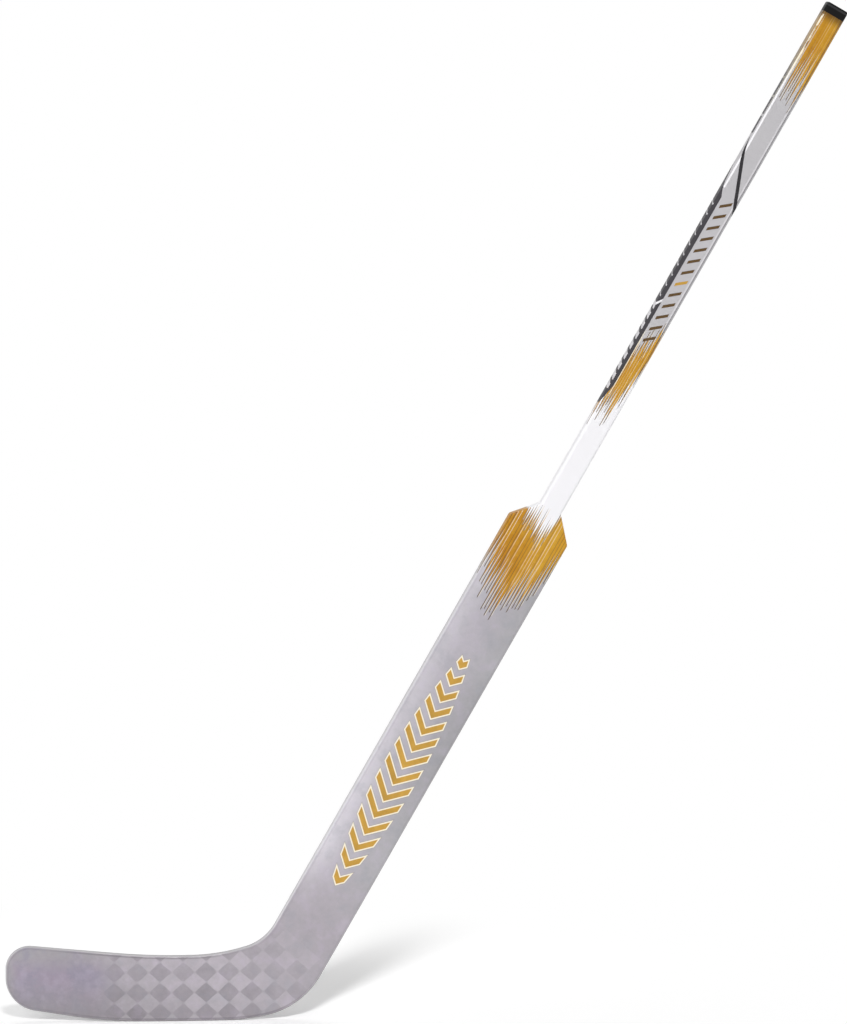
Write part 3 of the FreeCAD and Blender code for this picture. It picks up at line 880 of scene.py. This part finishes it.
dress(foam("heel_foam", HEEL_TAN), "heel_block")

# Camera: its angles, and the photo's size and places in pixels

CAMERA_AZIMUTH = 7.0
CAMERA_ELEVATION = 6.0
CAMERA_DISTANCE = 8.0
CAMERA_SENSOR = 36.0
CAMERA_REACH = 100.0
PHOTO_HEIGHT = 1024
PHOTO_CENTRE = (423.5, 512.0)
PIXELS_PER_METRE = 799.1
AIM = Vector((0.320, 0.0, 0.635))
AIM_PIXEL = (434.97, 514.59)


def camera_axes():
    """The directions that the camera looks along, has to its right and has above it."""
    azimuth = math.radians(CAMERA_AZIMUTH)
    elevation = math.radians(CAMERA_ELEVATION)
    look = Vector((
        math.sin(azimuth) * math.cos(elevation),
        math.cos(azimuth) * math.cos(elevation),
        -math.sin(elevation),
    ))
    right = Vector((math.cos(azimuth), -math.sin(azimuth), 0.0))
    return look, right, right.cross(look)


def add_camera():
    """A far camera that puts AIM on its pixel of the photo."""
    look, right, up = camera_axes()
    centre = (
        AIM
        - right * ((AIM_PIXEL[0] - PHOTO_CENTRE[0]) / PIXELS_PER_METRE)
        + up * ((AIM_PIXEL[1] - PHOTO_CENTRE[1]) / PIXELS_PER_METRE)
    )
    data = bpy.data.cameras.new("camera")
    data.sensor_fit = "VERTICAL"
    data.sensor_height = CAMERA_SENSOR
    data.lens = data.sensor_height * CAMERA_DISTANCE * PIXELS_PER_METRE / PHOTO_HEIGHT
    data.clip_end = CAMERA_REACH
    camera = bpy.data.objects.new("camera", data)
    turn = Matrix((right, up, -look)).transposed()
    camera.matrix_world = Matrix.Translation(centre - look * CAMERA_DISTANCE) @ turn.to_4x4()
    bpy.context.collection.objects.link(camera)
    bpy.context.scene.camera = camera


# Floor: pairs of places between which it turns plain white, and the reach of the stick's contact shade

FLOOR_HALF = 40.0
FLOOR_DROP = 0.0003
FLOOR_LIFT = 0.240
CONTACT_REACH = 0.16
CONTACT_SHADE = (1.0, 0.35)
BEHIND_SOLE = (-0.005, 0.020)
FAR_WHITE = (0.28, 0.90)
UNDER_TOE_X = (-0.100, -0.160)
UNDER_TOE_Y = (0.060, -0.020)
UNDER_TOE_WHITE = 0.6
PAST_TOE = (-0.150, -0.205)
PAST_TOE_WHITE = 0.45


def emission(graph, strength):
    """White light of the given strength."""
    made = graph.node("ShaderNodeEmission")
    graph.feed(made.inputs["Strength"], strength)
    return made.outputs[0]


def mix_shaders(graph, share, under, over):
    made = graph.node("ShaderNodeMixShader")
    graph.feed(made.inputs[0], share)
    graph.feed(made.inputs[1], under)
    graph.feed(made.inputs[2], over)
    return made.outputs[0]


def floor_material():
    """White to the eye, while its diffuse share still takes the shadow; plain white further off."""
    graph = Graph("floor_white")
    place = Place(graph)
    diffuse = graph.node("ShaderNodeBsdfDiffuse")
    graph.feed(diffuse.inputs["Color"], FLOOR_PALE)
    open_sky = graph.node("ShaderNodeAmbientOcclusion")
    graph.feed(open_sky.inputs["Distance"], CONTACT_REACH)
    hidden = Field(graph, open_sky.outputs["AO"]).rise(*CONTACT_SHADE) * place.y.rise(*BEHIND_SOLE)
    path = graph.node("ShaderNodeLightPath")
    looked_at = Field(graph, path.outputs["Is Camera Ray"])
    for ray in ("Is Glossy Ray", "Is Transmission Ray"):
        looked_at = looked_at.at_least(Field(graph, path.outputs[ray]))
    lift = emission(graph, FLOOR_LIFT - hidden * FLOOR_LIFT)
    near = graph.node("ShaderNodeAddShader")
    graph.feed(near.inputs[0], diffuse.outputs[0])
    graph.feed(near.inputs[1], mix_shaders(graph, looked_at, emission(graph, 0.0), lift))
    far = graph.math("SQRT", place.x * place.x + place.y * place.y).rise(*FAR_WHITE)
    under_toe = place.x.rise(*UNDER_TOE_X) * place.y.rise(*UNDER_TOE_Y) * UNDER_TOE_WHITE
    past_toe = place.x.rise(*PAST_TOE) * PAST_TOE_WHITE
    white_share = far.at_least(under_toe).at_least(past_toe) * looked_at
    output = graph.node("ShaderNodeOutputMaterial")
    shaded = mix_shaders(graph, white_share, near.outputs[0], emission(graph, 1.0))
    graph.feed(output.inputs["Surface"], shaded)
    return graph.material


def add_floor():
    signs = ((-1, -1), (1, -1), (1, 1), (-1, 1))
    corners = [(side * FLOOR_HALF, end * FLOOR_HALF, 0.0) for side, end in signs]
    mesh = bpy.data.meshes.new("floor")
    mesh.from_pydata(corners, [], [(0, 1, 2, 3)])
    floor = bpy.data.objects.new("floor", mesh)
    floor.location.z = -FLOOR_DROP
    mesh.materials.append(floor_material())
    bpy.context.collection.objects.link(floor)


# Light: strengths for the world as it falls on things, and as it shows in reflections and to the camera

WORLD_LIGHT = 0.14
REFLECTED_LIGHT = 0.45
SEEN_LIGHT = 1.0


def set_world():
    """Soft light all round, seen as plain white by the camera and dimmer in reflections."""
    world = bpy.data.worlds.new("studio")
    bpy.context.scene.world = world
    world.use_nodes = True
    tree = world.node_tree
    tree.nodes.clear()
    path = tree.nodes.new("ShaderNodeLightPath")
    strength = None
    for ray, light in (("Is Glossy Ray", REFLECTED_LIGHT), ("Is Camera Ray", SEEN_LIGHT)):
        step = tree.nodes.new("ShaderNodeMapRange")
        tree.links.new(path.outputs[ray], step.inputs["Value"])
        step.inputs["To Min"].default_value = WORLD_LIGHT
        step.inputs["To Max"].default_value = light
        if strength:
            tree.links.new(strength, step.inputs["To Min"])
        strength = step.outputs[0]
    background = tree.nodes.new("ShaderNodeBackground")
    background.inputs["Color"].default_value = (1.0, 1.0, 1.0, 1.0)
    tree.links.new(strength, background.inputs["Strength"])
    output = tree.nodes.new("ShaderNodeOutputWorld")
    tree.links.new(background.outputs[0], output.inputs["Surface"])


def aim_lamp(name, data, direction, shadow):
    """A lamp object that shines along a direction."""
    data.use_shadow = shadow
    lamp = bpy.data.objects.new(name, data)
    lamp.rotation_euler = Vector(direction).to_track_quat("-Z", "Y").to_euler()
    bpy.context.collection.objects.link(lamp)
    return lamp


def add_lamp(name, place, target, width, height, power, shadow=True):
    data = bpy.data.lights.new(name, "AREA")
    data.shape = "RECTANGLE"
    data.size = width
    data.size_y = height
    data.energy = power
    lamp = aim_lamp(name, data, Vector(target) - Vector(place), shadow)
    lamp.location = place


def add_sun(name, direction, strength, spread, shadow=True):
    data = bpy.data.lights.new(name, "SUN")
    data.energy = strength
    data.angle = math.radians(spread)
    aim_lamp(name, data, direction, shadow)


add_camera()
add_floor()
set_world()
add_sun("key", direction=(0.0, 1.0, -0.79), strength=2.11, spread=6.0)
add_lamp(
    "side", place=(-1.7, -1.3, 1.2), target=(0.35, 0.0, 0.6),
    width=0.3, height=2.2, power=5.0, shadow=False,
)
add_lamp(
    "back", place=(0.1, 1.7, 2.4), target=(0.2, 0.0, 0.3),
    width=2.4, height=1.4, power=22.0,
)
add_sun("back_fill", direction=(-0.5, -0.87, 0.0), strength=0.75, spread=20.0)
add_sun("toe_fill", direction=(1.0, 0.0, 0.0), strength=0.90, spread=20.0, shadow=False)
add_sun("heel_fill", direction=(-1.0, 0.0, 0.0), strength=0.35, spread=20.0, shadow=False)

bpy.context.scene.view_settings.view_transform = "Standard"
